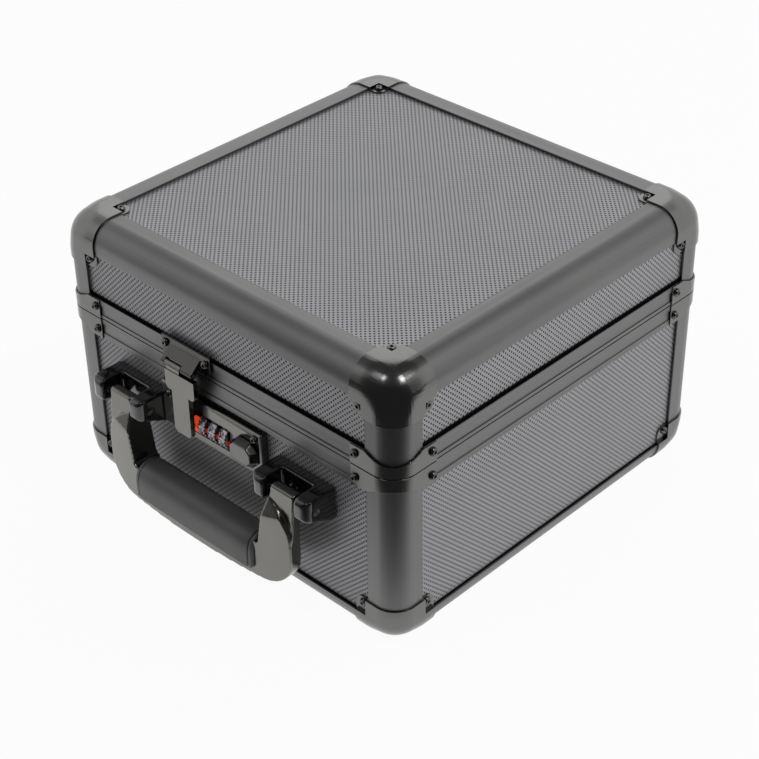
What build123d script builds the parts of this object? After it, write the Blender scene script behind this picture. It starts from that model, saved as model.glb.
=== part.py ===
import math
import os
from collections import namedtuple

from build123d import *

# Graded card case: a square lid and base of thin panels held in extruded corners, with ball corners,
# corner braces along the seam, a combination lock with a hinged hasp over it, a drop handle in two
# moulded brackets, two rear hinges, and a foam liner with two rows for card slabs.
# Millimetres. X runs along the front, Y from the front to the back and Z up. While it is drawn, the
# case stands with its middle at X = Y = 0 and the undersides of the ball corners at Z = 0.

# Overall
case_width = 250.0  # over the ball corners, left to right
case_depth = 250.0  # over the ball corners, front to back
case_height = 167.2  # over the ball corners, bottom to top
seam_height = 109.65
seam_gap = 0.7  # between the two rims when the lid is shut
foot_stand_off = 1.0  # how far the feet reach below the ball corners

# Sheet, panels and extrusions
corner_plate = 1.0  # sheet of a ball corner
corner_radius = 14.0  # outer radius of the ball corners
corner_seat = 0.05  # between a ball corner and the extrusions it covers
panel_thickness = 4.5
panel_recess = 1.8  # from the outer plane of an extrusion in to the panel
panel_clearance = 0.4  # between a panel's edge and the bottom of its slot
extrusion_wall = 1.2
web_depth = 11.0  # from the outer plane to the web that a panel's edge stops at
flange_width = 19.6  # flange of the posts, and of the edges on the top and the bottom
lid_edge_drop = 17.4  # how far the lid's edge reaches down its side
base_edge_rise = 13.2  # how far the base's edge reaches up its side
inner_leg_shortfall = 3.0  # inner legs are this much shorter than the outer flanges
joint_clearance = 0.2  # between the ends of pieces that meet

# Rims along the seam
rim_stand_out = 0.4  # rims stand out this far from the posts
lid_rim_height = 11.3
base_rim_height = 12.4
rim_lip = 0.6  # thin outer lip beside the panel
rim_lip_depth = 4.6
rim_floor = 4.0  # from the seam face to the bottom of the panel's slot
rim_bead_near_lid = 2.0
rim_bead_near_base = 3.0
rim_bead_far = 3.3
rim_band_recess = 0.5
tongue_width = 1.6
tongue_height = 2.6
tongue_inset = 3.4  # from the rim's outer plane
tongue_clearance = 0.5

# Braces over the rim corners
brace_plate = 0.8
brace_reach = 29.8  # from the case's side to the brace's end
brace_scoop_radius = 43.0
brace_scoop_depth = 5.2

# Ball corners
edge_reach = 29.6
lid_post_reach = 27.2
base_post_reach = 25.2
tab_corner_radius = 5.0

# Rivets
rivet_head_radius = 2.5
rivet_head_height = 1.75
rivet_crown_radius = 1.6
rivet_shoulder_radius = 2.3
rivet_shoulder_height = 0.9
rivet_cup_radius = 0.9  # the hollow in the end of a tubular rivet
rivet_cup_depth = 0.8
rivet_shank_radius = 1.5
rivet_hole_clearance = 0.1
top_rivet_inset = 24.9
side_rivet_inset = 24.3
side_rivet_height = 22.1  # from the ball corner's flat underside or top
brace_rivet_inset = 26.6
lid_brace_rivet_rise = 6.8  # from the seam
base_brace_rivet_drop = 7.0

# Liner and feet
foam_clearance = 0.5
row_width = 87.0
row_length = 212.0
row_divider = 12.0
base_foam_drop = 3.3  # from the base's seam face to the top of its foam
row_floor = 12.3
lid_foam_rise = 1.6  # from the lid's seam face to its foam
lid_hollow_width = 194.0
lid_hollow_length = 216.0
lid_foam_roof = 8.7  # foam left above the lid's hollow
foot_radius = 7.0
foot_inset = 40.0

# Rear hinges
hinge_inset = 55.0  # from the case's side to the middle of a hinge
hinge_width = 44.0
hinge_leaf = 1.2
hinge_leaf_height = 11.0
hinge_barrel_radius = 2.4
hinge_pin_radius = 1.1
hinge_axis_out = 3.2  # behind the rims' outer plane
knuckle_count = 5
knuckle_gap = 0.3
running_clearance = 0.05

# Combination lock
lock_left = -44.0
lock_right = 33.0
lock_bottom = 68.0
lock_top = 95.0
lock_stand_out = 5.4
lock_wall = 1.2
lock_corner_cut = 4.0
lock_edge_chamfer = 0.9
lock_rivets = ((-37.0, 89.0), (28.6, 91.3))
window_left = -20.5
window_right = 9.5
dial_centre_x = -2.25
dial_height = 80.0
dial_axis_depth = 1.8  # from the panel out to the dials' axis
dial_pitch = 8.05
dial_width = 5.2
dial_radius = 7.0
dial_count = 3
dial_edge_chamfer = 0.5
axle_radius = 2.0
dial_room = 0.4  # around the dials, inside the housing and in the window
housing_depth = 10.2  # behind the panel's face
housing_wall = 0.8
housing_end_wall = 3.0

# Release button
button_left = 11.9
button_right = 31.7
button_bottom = 72.0
button_top = 88.6
button_base_corner = 5.0
button_face_corner = 2.6
button_face_inset_left = 3.0
button_face_inset_right = 2.0
button_face_inset_bottom = 4.6
button_face_inset_top = 1.8
button_height = 5.2
button_lift = 0.35  # between the button and the lock plate
button_travel = 2.5
stem_width = 8.0
stem_height = 5.0
stem_foot = 1.6
stem_foot_thickness = 1.4

# Hasp
hasp_left = -41.8
hasp_right = -4.5
hasp_plate_bottom = 113.0
hasp_plate_top = 124.5
hasp_plate_thickness = 1.6
hasp_roll_left = -36.0
hasp_roll_right = -12.0
hasp_axis_stand_off = 6.8  # in front of the rims
hasp_axis_height = 113.2
hasp_barrel_radius = 1.9
hasp_leaf_clearance = 0.9  # round the leaf's knuckle, in the rolled plate
hasp_roll_drop = 4.0  # from the plate's top to where it starts to roll out
hasp_roll_tangent = 60.0  # degrees above level, where the roll meets the barrel
hasp_corner_cut = 3.0
hasp_pin_radius = 0.9
leaf_knuckle_left = -33.0
leaf_knuckle_right = -21.0
head_left = -32.0
head_right = -9.5
head_top = 110.8
head_bottom = 99.0
strap_left = -27.5
strap_right = -14.5
strap_bottom = 73.0
leaf_stand_off = 9.5  # in front of the rims
leaf_depth = 3.0
leaf_wall = 1.2
leaf_corner_radius = 2.5
leaf_neck_inset = 0.4  # from the leaf's face to the neck between it and its knuckle
leaf_neck_overlap = 1.0
hasp_rivets = ((-38.9, 120.2), (-8.0, 119.7))
staple_width = 7.0
staple_height = 78.0
staple_thickness = 2.0
staple_gap = 0.4

# Handle. Every stand-off is measured outwards from the panel's face.
handle_centre_x = -1.6
pivot_spacing = 126.4
pivot_stand_off = 14.8
pivot_height = 77.5
pivot_pin_radius = 1.75
bracket_width = 41.2
bracket_pocket_width = 22.6
bracket_back_wall = 6.8
bracket_bottom = 66.6
bracket_top = 86.0
bracket_stand_off = 21.6
bracket_heel = 4.0  # how far the underside stays level with the bracket's bottom
bracket_throat_stand_off = 16.8
bracket_throat = 72.6
bracket_nose_bottom = 73.3
bracket_nose_chamfer = 1.4
bracket_round = 4.0
bracket_side_round = 5.0
handle_half_width = 71.2
handle_bottom = 22.5
handle_bottom_radius = 20.0
handle_top = 83.0
handle_inner_top = 54.9
handle_inner_bottom = 48.6
handle_bar_top = 44.0
handle_inner_radius = 3.0
bow_stand_off = 26.8
bow_half_length = 80.0  # the bow of the bar's front is drawn past its sides
bow_end_stand_off = 20.4
handle_back_stand_off = 7.8
arm_back_stand_off = 14.3
arm_foot_stand_off = 20.9  # the arms' front where it enters the bar
arm_head_stand_off = 18.4  # the arms' front at their top
arm_heel_stand_off = 11.6  # behind the pivot
arm_heel_height = 73.0
arm_nape_height = 68.0
arm_head_round = 1.6
arm_back_round = 2.6
shoulder_out = 47.0  # middle of the round shoulder in which the bar's front ends on an arm
shoulder_height = 52.0
shoulder_radius = 24.0
shoulder_slope_out = 8.7
shoulder_slope_rise = 19.0
shoulder_top = 77.0
back_step_outer = 61.0
back_step_inner = 57.0
sleeve_half_length = 46.0
sleeve_front_stand_off = 27.1
sleeve_back_stand_off = 6.7
sleeve_bottom = 27.4
sleeve_top = 47.0
sleeve_round = 8.0
sleeve_edge_round = 2.0
sleeve_wall = 3.0
sleeve_clearance = 0.1
cut_past = 2.0  # how far a cutting block reaches past what it cuts

# Worked out from the sizes above
Side = namedtuple("Side", "name turn along out")
half_width = case_width / 2
half_depth = case_depth / 2
sides = (
    Side("front", 0, half_width, half_depth),
    Side("right", 90, half_depth, half_width),
    Side("back", 180, half_width, half_depth),
    Side("left", 270, half_depth, half_width),
)
slot_width = panel_thickness + panel_recess - extrusion_wall
leg_depth = panel_recess + panel_thickness + extrusion_wall
lid_seam = seam_height + seam_gap / 2
base_seam = seam_height - seam_gap / 2
base_foam_top = base_seam - base_foam_drop
lid_foam_bottom = lid_seam + lid_foam_rise
panel_in = corner_plate + panel_recess  # from the case's outside in to a panel's face
rim_out = corner_plate - rim_stand_out  # from the case's outside in to the rims
panel_front = half_depth - panel_in
rim_front = half_depth - rim_out
rear_hinge_y = half_depth - rim_out + hinge_axis_out
hinge_spacing = case_width - 2 * hinge_inset
housing_back = panel_front - housing_depth
hasp_axis_out = rim_front + hasp_axis_stand_off
leaf_front = rim_front + leaf_stand_off
pivot_out = panel_front + pivot_stand_off
bracket_front = panel_front + bracket_stand_off
handle_front = panel_front + bow_stand_off
handle_back = panel_front + handle_back_stand_off
sleeve_front = panel_front + sleeve_front_stand_off
sleeve_back = panel_front + sleeve_back_stand_off
case_shift_y = (max(sleeve_front, leaf_front) - rear_hinge_y - hinge_barrel_radius) / 2
low = (Align.MIN, Align.MIN)
upright = (Align.CENTER, Align.CENTER, Align.MIN)


def block(x0, x1, y0, y1, z0, z1):
    """A box between two values on each axis."""
    return Pos((x0 + x1) / 2, (y0 + y1) / 2, (z0 + z1) / 2) * Box(x1 - x0, y1 - y0, z1 - z0)


def bar(radius, x0, x1, y, z):
    """A round bar along X."""
    return Pos((x0 + x1) / 2, y, z) * Rot(0, 90, 0) * Cylinder(radius, x1 - x0)


def front_plane(y):
    """A drawing plane facing the front, with its own X and Y along the case's X and Z."""
    return Plane(origin=(0, y, 0), x_dir=(1, 0, 0), z_dir=(0, -1, 0))


def side_plane(x):
    """A drawing plane facing +X, with its own X and Y along the case's Y and Z."""
    return Plane(origin=(x, 0, 0), x_dir=(0, 1, 0), z_dir=(1, 0, 0))


def four_corners(piece):
    """A piece at the front right corner and its three mirror images."""
    pair = [piece, mirror(piece, about=Plane.YZ)]
    return pair + [mirror(p, about=Plane.XZ) for p in pair]


def save(node, solids):
    """Move a node's solids to the part's own origin and write them."""
    shape = solids if isinstance(solids, list) else [solids]
    moved = [Pos(0, case_shift_y, foot_stand_off) * s for item in shape for s in item.solids()]
    whole = moved[0] if len(moved) == 1 else Compound(children=moved)
    export_step(whole, "parts/" + node + ".step")


def corner_profile(flange_a, flange_b):
    """Section of a corner extrusion: a rounded L with a slot for a panel in each leg and a hollow core.
    The first flange lies along the section's Y, the second along its X."""
    body = Rectangle(leg_depth, flange_a, align=low) + Rectangle(flange_b, leg_depth, align=low)
    corner = body.vertices().sort_by_distance((0, 0))[0]
    skin_radius = corner_radius - corner_plate
    body = fillet(corner, skin_radius)
    core = web_depth - 2 * extrusion_wall
    hollow = Rectangle(slot_width, core, align=low) + Rectangle(core, slot_width, align=low)
    hollow = Pos(extrusion_wall, extrusion_wall) * hollow
    body -= hollow & (Pos(skin_radius, skin_radius) * Circle(skin_radius - extrusion_wall))
    body -= Pos(extrusion_wall, web_depth) * Rectangle(slot_width, flange_a, align=low)
    body -= Pos(web_depth, extrusion_wall) * Rectangle(flange_b, slot_width, align=low)
    inner_leg = leg_depth - extrusion_wall
    body -= Pos(inner_leg, flange_a - inner_leg_shortfall) * Rectangle(leg_depth, flange_a, align=low)
    body -= Pos(flange_b - inner_leg_shortfall, inner_leg) * Rectangle(flange_b, leg_depth, align=low)
    return body


def edge(side, skin_height, up, reach):
    """An edge extrusion along one side, at the top or the bottom of the case."""
    profile = corner_profile(reach, flange_width)
    plane = Plane(origin=(0, corner_plate - side.out, skin_height), x_dir=(0, 1, 0), z_dir=(up, 0, 0))
    length = side.along - corner_plate - flange_width - joint_clearance
    return Rot(0, 0, side.turn) * extrude(plane * profile, amount=length, both=True)


def posts(bottom, top):
    """The four corner posts between two heights."""
    origin = (half_width - corner_plate, corner_plate - half_depth, bottom)
    plane = Plane(origin=origin, x_dir=(0, 1, 0), z_dir=(0, 0, 1))
    return four_corners(extrude(plane * corner_profile(flange_width, flange_width), amount=top - bottom))


def rim(side, seam, up, height, bead_near, with_tongue):
    """A rim extrusion along one side of the seam: beads and a band outside, a slot for the panel, and
    a tongue or a groove in its seam face."""
    depth = leg_depth + rim_stand_out
    slot_start = panel_recess + rim_stand_out
    body = Rectangle(depth, height, align=low)
    band = height - bead_near - rim_bead_far
    body -= Pos(0, bead_near) * Rectangle(rim_band_recess, band, align=low)
    body -= Pos(slot_start, rim_floor) * Rectangle(panel_thickness, height, align=low)
    lip_gap = slot_start - rim_lip
    body -= Pos(rim_lip, height - rim_lip_depth) * Rectangle(lip_gap, rim_lip_depth, align=low)
    if with_tongue:
        body += Pos(tongue_inset, -tongue_height) * Rectangle(tongue_width, 2 * tongue_height, align=low)
        body -= Pos(slot_start, rim_floor) * Rectangle(panel_thickness, height, align=low)
    else:
        groove = Rectangle(tongue_width + 2 * tongue_clearance, tongue_height + tongue_clearance, align=low)
        body -= Pos(tongue_inset - tongue_clearance, 0) * groove
    plane = Plane(origin=(0, rim_out - side.out, seam), x_dir=(0, 1, 0), z_dir=(up, 0, 0))
    length = side.along - corner_plate - flange_width - joint_clearance
    return Rot(0, 0, side.turn) * extrude(plane * body, amount=length, both=True)


def side_panel(side, bottom, top):
    """A side panel of the base or the lid."""
    half = side.along - corner_plate - web_depth - panel_clearance
    y = panel_in - side.out
    return Rot(0, 0, side.turn) * block(-half, half, y, y + panel_thickness, bottom, top)


def flat_panel(z0, z1):
    """The top or the bottom panel."""
    x = half_width - corner_plate - web_depth - panel_clearance
    y = half_depth - corner_plate - web_depth - panel_clearance
    return block(-x, x, -y, y, z0, z1)


def rounded_corner_block(reach_x, reach_y, drop, inset, radius, over):
    """A block at the front right top corner of the case, with its three outer edges rounded."""
    x1 = half_width - inset
    y0 = inset - half_depth
    body = block(half_width - reach_x - over, x1, y0, reach_y - half_depth + over, -drop - over, -inset)
    tip = Vertex(x1, y0, -inset)
    return fillet([e for e in body.edges() if e.distance_to(tip) < 1e-6], radius)


def ball_corner(post_reach, edge_flange):
    """A pressed ball corner at the front right top corner, drawn with its flat top at Z = 0. Where it
    passes the flanges it steps down to the panels in a tab with a rounded corner."""
    over = 1.0
    outer = rounded_corner_block(edge_reach, edge_reach, post_reach, 0, corner_radius, 0)
    wall = corner_plate - corner_seat
    inner = rounded_corner_block(edge_reach, edge_reach, post_reach, wall, corner_radius - wall, over)
    shell = outer - inner
    x_end = half_width - edge_reach
    x_step = half_width - corner_plate - flange_width - joint_clearance
    z_end = -post_reach
    z_step = -corner_plate - edge_flange - joint_clearance
    y_skin = corner_plate - half_depth
    y_panel = panel_in - half_depth
    step = corner_plate
    # the tab on the front, and its mirror image on the right side
    front_cut = block(x_end - over, x_step - step, -half_depth - over, y_skin, z_end - over, z_step - step)
    front_tab = block(x_end, x_step, y_skin, y_panel, z_end, z_step)
    front_tab -= block(
        x_end - over, x_step - step, y_skin - over, y_panel - step, z_end - over, z_step - step
    )
    tip = Vertex(x_end, y_panel, z_end)
    front_tab = fillet([e for e in front_tab.edges().filter_by(Axis.Y) if e.distance_to(tip) < 1e-6],
                       tab_corner_radius)
    diagonal = Plane(origin=(half_width, -half_depth, 0), z_dir=(1, 1, 0))
    shell = shell - front_cut - mirror(front_cut, about=diagonal)
    shell = shell + front_tab + mirror(front_tab, about=diagonal)
    # the tab on the top
    y_step = -half_depth + half_width - x_step
    y_end = edge_reach - half_depth
    shell -= block(x_end - over, x_step - step, y_step + step, y_end + over, -corner_plate, over)
    top_tab = block(x_end, x_step, y_step, y_end, -panel_in, -corner_plate)
    top_tab -= block(x_end - over, x_step - step, y_step + step, y_end + over, step - panel_in, 0)
    tip = Vertex(x_end, y_end, -panel_in)
    top_tab = fillet([e for e in top_tab.edges().filter_by(Axis.Z) if e.distance_to(tip) < 1e-6],
                     tab_corner_radius)
    return shell + top_tab


def brace(seam, up, height):
    """A corner brace over the rims of the front right corner. A hollow scoop lowers its edge where it
    goes round the post."""
    out = half_width - rim_out + brace_plate
    y_out = -(half_depth - rim_out + brace_plate)
    radius = corner_radius - rim_out + brace_plate
    x_end = half_width - brace_reach
    y_end = brace_reach - half_depth
    outer = Pos(out, y_out) * Rectangle(out - x_end, y_end - y_out, align=(Align.MAX, Align.MIN))
    outer = fillet(outer.vertices().sort_by_distance((out, y_out))[0], radius)
    inner = Pos(out - brace_plate, y_out + brace_plate) * Rectangle(
        out - x_end, y_end - y_out, align=(Align.MAX, Align.MIN)
    )
    inner = fillet(
        inner.vertices().sort_by_distance((out - brace_plate, y_out + brace_plate))[0],
        radius - brace_plate,
    )
    plate = extrude(outer - inner, amount=height * up)
    scoop_centre = up * (height - brace_scoop_depth + brace_scoop_radius)
    plate -= Pos(out, y_out, scoop_centre) * Sphere(brace_scoop_radius)
    return Pos(0, 0, seam) * plate


def side_spot(side, across, out, height):
    """A place on a side of the case, with its own Z pointing out of the case."""
    return Rot(0, 0, side.turn) * Pos(across, -out, height) * Rot(90, 0, 0)


def rivet(spot, grip):
    """A tubular rivet with its domed head on the spot and its shank inwards."""
    outline = Polyline(
        (0, -grip), (rivet_shank_radius, -grip), (rivet_shank_radius, 0), (rivet_head_radius, 0),
        (rivet_shoulder_radius, rivet_shoulder_height), (rivet_crown_radius, rivet_head_height),
        (rivet_cup_radius, rivet_head_height), (rivet_cup_radius, rivet_head_height - rivet_cup_depth),
        (0, rivet_head_height - rivet_cup_depth), close=True,
    )
    return spot * revolve(Plane.XZ * make_face(outline), axis=Axis.Z)


def rivet_hole(spot, grip):
    """The hole for a rivet, longer than its shank at both ends."""
    radius = rivet_shank_radius + rivet_hole_clearance
    over = 4.0
    return spot * Pos(0, 0, -grip - over) * Cylinder(radius, grip + 2 * over, align=upright)


def drilled(piece, spots):
    """A piece with the holes of every rivet that passes near it."""
    box = piece.bounding_box()
    for spot, grip in spots:
        hole = rivet_hole(spot, grip)
        b = hole.bounding_box()
        apart = any(
            getattr(b.min, k) > getattr(box.max, k) or getattr(b.max, k) < getattr(box.min, k) for k in "XYZ"
        )
        if not apart:
            piece -= hole
    return piece


# Rivets: where they sit and how deep they go, for the lid and for the base
tab_grip = panel_thickness + corner_plate + 1.0
brace_grip = leg_depth + rim_stand_out + brace_plate
lid_spots = []
base_spots = []
for s in sides:
    tab_face = s.out - panel_in + corner_plate
    brace_face = s.out - rim_out + brace_plate
    for hand in (-1, 1):
        corner_x = hand * (s.along - side_rivet_inset)
        brace_x = hand * (s.along - brace_rivet_inset)
        lid_spots.append((side_spot(s, corner_x, tab_face, case_height - side_rivet_height), tab_grip))
        base_spots.append((side_spot(s, corner_x, tab_face, side_rivet_height), tab_grip))
        lid_spots.append((side_spot(s, brace_x, brace_face, lid_seam + lid_brace_rivet_rise), brace_grip))
        base_spots.append((side_spot(s, brace_x, brace_face, base_seam - base_brace_rivet_drop), brace_grip))
for hand_x in (-1, 1):
    for hand_y in (-1, 1):
        x = hand_x * (half_width - top_rivet_inset)
        y = hand_y * (half_depth - top_rivet_inset)
        lid_spots.append((Pos(x, y, case_height - panel_in + corner_plate), tab_grip))
        base_spots.append((Pos(x, y, panel_in - corner_plate) * Rot(180, 0, 0), tab_grip))
front_side = sides[0]
lock_front = panel_front + lock_stand_out
lock_spots = [
    (side_spot(front_side, x, lock_front, z), lock_stand_out + panel_thickness + 1.0) for x, z in lock_rivets
]
hasp_face = rim_front + hasp_plate_thickness
hasp_spots = [(side_spot(front_side, x, hasp_face, z), hasp_plate_thickness) for x, z in hasp_rivets]


def build_shell():
    """Panels, edges, posts and rims of the base and the lid."""
    top_skin = case_height - corner_plate
    base_panel_bottom = corner_plate + web_depth + panel_clearance
    base_panel_top = base_seam - rim_floor - panel_clearance
    lid_panel_bottom = lid_seam + rim_floor + panel_clearance
    lid_panel_top = top_skin - web_depth - panel_clearance
    housing = housing_block(joint_clearance)
    for s in sides:
        base_panel = drilled(side_panel(s, base_panel_bottom, base_panel_top), base_spots)
        if s.name == "front":
            base_panel = drilled(base_panel - housing, lock_spots)
        save("base_" + s.name + "_panel", base_panel)
        save("lid_" + s.name + "_panel", drilled(side_panel(s, lid_panel_bottom, lid_panel_top), lid_spots))
        save("base_" + s.name + "_edge", edge(s, corner_plate, 1, base_edge_rise))
        save("lid_" + s.name + "_edge", edge(s, top_skin, -1, lid_edge_drop))
        base_rim = rim(s, base_seam, -1, base_rim_height, rim_bead_near_base, True)
        lid_rim = rim(s, lid_seam, 1, lid_rim_height, rim_bead_near_lid, False)
        save("base_" + s.name + "_rim", drilled(base_rim, base_spots))
        save("lid_" + s.name + "_rim", drilled(lid_rim, lid_spots))
    save("base_bottom_panel", drilled(flat_panel(panel_in, panel_in + panel_thickness), base_spots))
    top_face = case_height - panel_in
    save("lid_top_panel", drilled(flat_panel(top_face - panel_thickness, top_face), lid_spots))
    save("base_posts", posts(corner_plate + base_edge_rise + joint_clearance, base_seam))
    save("lid_posts", posts(lid_seam, top_skin - lid_edge_drop - joint_clearance))


def build_corners():
    """Ball corners, braces and their rivets."""
    lid_corner = Pos(0, 0, case_height) * ball_corner(lid_post_reach, lid_edge_drop)
    base_corner = mirror(ball_corner(base_post_reach, base_edge_rise), about=Plane.XY)
    save("lid_ball_corners", four_corners(drilled(lid_corner, lid_spots)))
    save("base_ball_corners", four_corners(drilled(base_corner, base_spots)))
    save("lid_rim_braces", four_corners(drilled(brace(lid_seam, 1, lid_rim_height), lid_spots)))
    save("base_rim_braces", four_corners(drilled(brace(base_seam, -1, base_rim_height), base_spots)))
    save("lid_rivets", [rivet(spot, grip) for spot, grip in lid_spots + hasp_spots])
    save("base_rivets", [rivet(spot, grip) for spot, grip in base_spots + lock_spots])


def build_liner():
    """Foam blocks and feet."""
    half_x = half_width - corner_plate - leg_depth - foam_clearance
    half_y = half_depth - corner_plate - leg_depth - foam_clearance
    foam_bottom = corner_plate + leg_depth
    base = block(-half_x, half_x, -half_y, half_y, foam_bottom, base_foam_top)
    inner = row_divider / 2
    for hand in (-1, 1):
        x = sorted((hand * inner, hand * (inner + row_width)))
        base -= block(x[0], x[1], -row_length / 2, row_length / 2, row_floor, base_foam_top)
    base -= housing_block(foam_clearance)
    save("base_foam", base)
    foam_top = case_height - corner_plate - leg_depth
    lid = block(-half_x, half_x, -half_y, half_y, lid_foam_bottom, foam_top)
    hollow_x = lid_hollow_width / 2
    hollow_y = lid_hollow_length / 2
    lid -= block(-hollow_x, hollow_x, -hollow_y, hollow_y, lid_foam_bottom, foam_top - lid_foam_roof)
    save("lid_foam", lid)
    foot = Pos(half_width - foot_inset, foot_inset - half_depth, -foot_stand_off) * Cylinder(
        foot_radius, foot_stand_off + panel_in, align=upright
    )
    save("feet", four_corners(foot))


def build_rear_hinges():
    """Two butt hinges across the seam at the back."""
    y_rim = half_depth - rim_out
    pitch = hinge_width / knuckle_count
    leaves = {"base": [], "lid": []}
    pins = []
    for centre in (-hinge_spacing / 2, hinge_spacing / 2):
        left = centre - hinge_width / 2
        clear = hinge_barrel_radius + knuckle_gap
        base = block(left, left + hinge_width, y_rim, y_rim + hinge_leaf,
                     seam_height - clear - hinge_leaf_height, seam_height - clear)
        lid = block(left, left + hinge_width, y_rim, y_rim + hinge_leaf,
                    seam_height + clear, seam_height + clear + hinge_leaf_height)
        for i in range(knuckle_count):
            x0 = left + i * pitch + (knuckle_gap / 2 if i else 0)
            x1 = left + (i + 1) * pitch - (knuckle_gap / 2 if i < knuckle_count - 1 else 0)
            knuckle = bar(hinge_barrel_radius, x0, x1, rear_hinge_y, seam_height)
            if i % 2:
                knuckle += block(x0, x1, y_rim, y_rim + hinge_leaf, seam_height, seam_height + clear)
                knuckle += block(x0, x1, y_rim, rear_hinge_y, seam_height + hinge_barrel_radius
                                 - hinge_leaf, seam_height + hinge_barrel_radius)
                lid += knuckle
            else:
                knuckle += block(x0, x1, y_rim, y_rim + hinge_leaf, seam_height - clear, seam_height)
                knuckle += block(x0, x1, y_rim, rear_hinge_y, seam_height - hinge_barrel_radius,
                                 seam_height - hinge_barrel_radius + hinge_leaf)
                base += knuckle
        bore = bar(hinge_pin_radius + running_clearance, left - 1, left + hinge_width + 1,
                   rear_hinge_y, seam_height)
        leaves["base"].append(base - bore)
        leaves["lid"].append(lid - bore)
        pins.append(bar(hinge_pin_radius, left, left + hinge_width, rear_hinge_y, seam_height))
    save("base_hinge_leaves", leaves["base"])
    save("lid_hinge_leaves", leaves["lid"])
    save("hinge_pins", pins)


def housing_block(margin):
    """The lock's inner housing as a block, grown by a margin."""
    half = dial_radius + dial_room + housing_wall + margin
    return block(
        window_left - housing_end_wall - margin, lock_right - lock_wall - housing_wall + margin,
        lock_wall - lock_front, margin - housing_back, dial_height - half, dial_height + half,
    )


def build_lock():
    """Lock plate, inner housing, axle, dials and the release button."""
    dial_y = -(panel_front + dial_axis_depth)
    outline = Polyline(
        (lock_left, lock_bottom), (lock_right - lock_corner_cut, lock_bottom),
        (lock_right, lock_bottom + lock_corner_cut), (lock_right, lock_top), (lock_left, lock_top),
        close=True,
    )
    face = make_face(outline)
    plate = extrude(front_plane(-panel_front) * face, amount=lock_stand_out)
    plate = chamfer(plate.faces().sort_by(Axis.Y)[0].edges(), lock_edge_chamfer)
    hollow = offset(face, amount=-lock_wall, kind=Kind.INTERSECTION)
    plate -= extrude(front_plane(-panel_front) * hollow, amount=lock_stand_out - lock_wall)
    inner_face = lock_front - lock_wall
    window_half = math.sqrt(dial_radius**2 - (inner_face + dial_y) ** 2) + dial_room
    plate -= block(window_left, window_right, -lock_front - 1, -panel_front, dial_height - window_half,
                   dial_height + window_half)
    stem_x = (button_left + button_right) / 2
    stem_z = dial_height
    slot_left = stem_x - stem_width / 2 - joint_clearance
    slot_right = stem_x + stem_width / 2 + button_travel + joint_clearance
    slot_half = stem_height / 2 + joint_clearance
    plate -= block(slot_left, slot_right, -lock_front - 1, -panel_front, stem_z - slot_half,
                   stem_z + slot_half)
    save("lock_plate", drilled(plate, lock_spots))

    room = dial_radius + dial_room
    housing = housing_block(0)
    housing -= block(window_left, window_right, -inner_face, dial_y + room, dial_height - room,
                     dial_height + room)
    foot_half = stem_width / 2 + stem_foot
    foot_depth = stem_foot_thickness + 2 * joint_clearance
    foot_left = stem_x - foot_half - joint_clearance
    foot_right = stem_x + foot_half + button_travel + joint_clearance
    housing -= block(foot_left, foot_right, -inner_face, foot_depth - inner_face, stem_z - foot_half,
                     stem_z + foot_half)
    axle_bore = axle_radius + running_clearance
    axle_left = window_left - housing_end_wall / 2
    axle_right = window_right + housing_end_wall / 2
    housing -= bar(axle_bore, axle_left, axle_right, dial_y, dial_height)
    save("lock_housing", housing)
    save("dial_axle", bar(axle_radius, axle_left, axle_right, dial_y, dial_height))

    for i in range(dial_count):
        centre = dial_centre_x + (i - (dial_count - 1) / 2) * dial_pitch
        disc = bar(dial_radius, centre - dial_width / 2, centre + dial_width / 2, dial_y, dial_height)
        disc = chamfer(disc.edges().filter_by(GeomType.CIRCLE), dial_edge_chamfer)
        disc -= bar(axle_bore, centre - dial_width, centre + dial_width, dial_y, dial_height)
        save("dial_%d" % (i + 1), disc)

    base = octagon(button_left, button_right, button_bottom, button_top, button_base_corner)
    top = octagon(
        button_left + button_face_inset_left, button_right - button_face_inset_right,
        button_bottom + button_face_inset_bottom, button_top - button_face_inset_top, button_face_corner,
    )
    y_base = -lock_front - button_lift
    button = loft([front_plane(y_base) * base, front_plane(y_base - button_height) * top], ruled=True)
    button += block(stem_x - stem_width / 2, stem_x + stem_width / 2, y_base, joint_clearance - inner_face,
                    stem_z - stem_height / 2, stem_z + stem_height / 2)
    foot_y = joint_clearance - inner_face
    button += block(stem_x - foot_half, stem_x + foot_half, foot_y, foot_y + stem_foot_thickness,
                    stem_z - stem_height, stem_z + stem_height)
    save("release_button", button)


def octagon(x0, x1, z0, z1, cut):
    """A rectangle with its corners cut off."""
    shape = Pos((x0 + x1) / 2, (z0 + z1) / 2) * Rectangle(x1 - x0, z1 - z0)
    return chamfer(shape.vertices(), cut)


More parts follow.
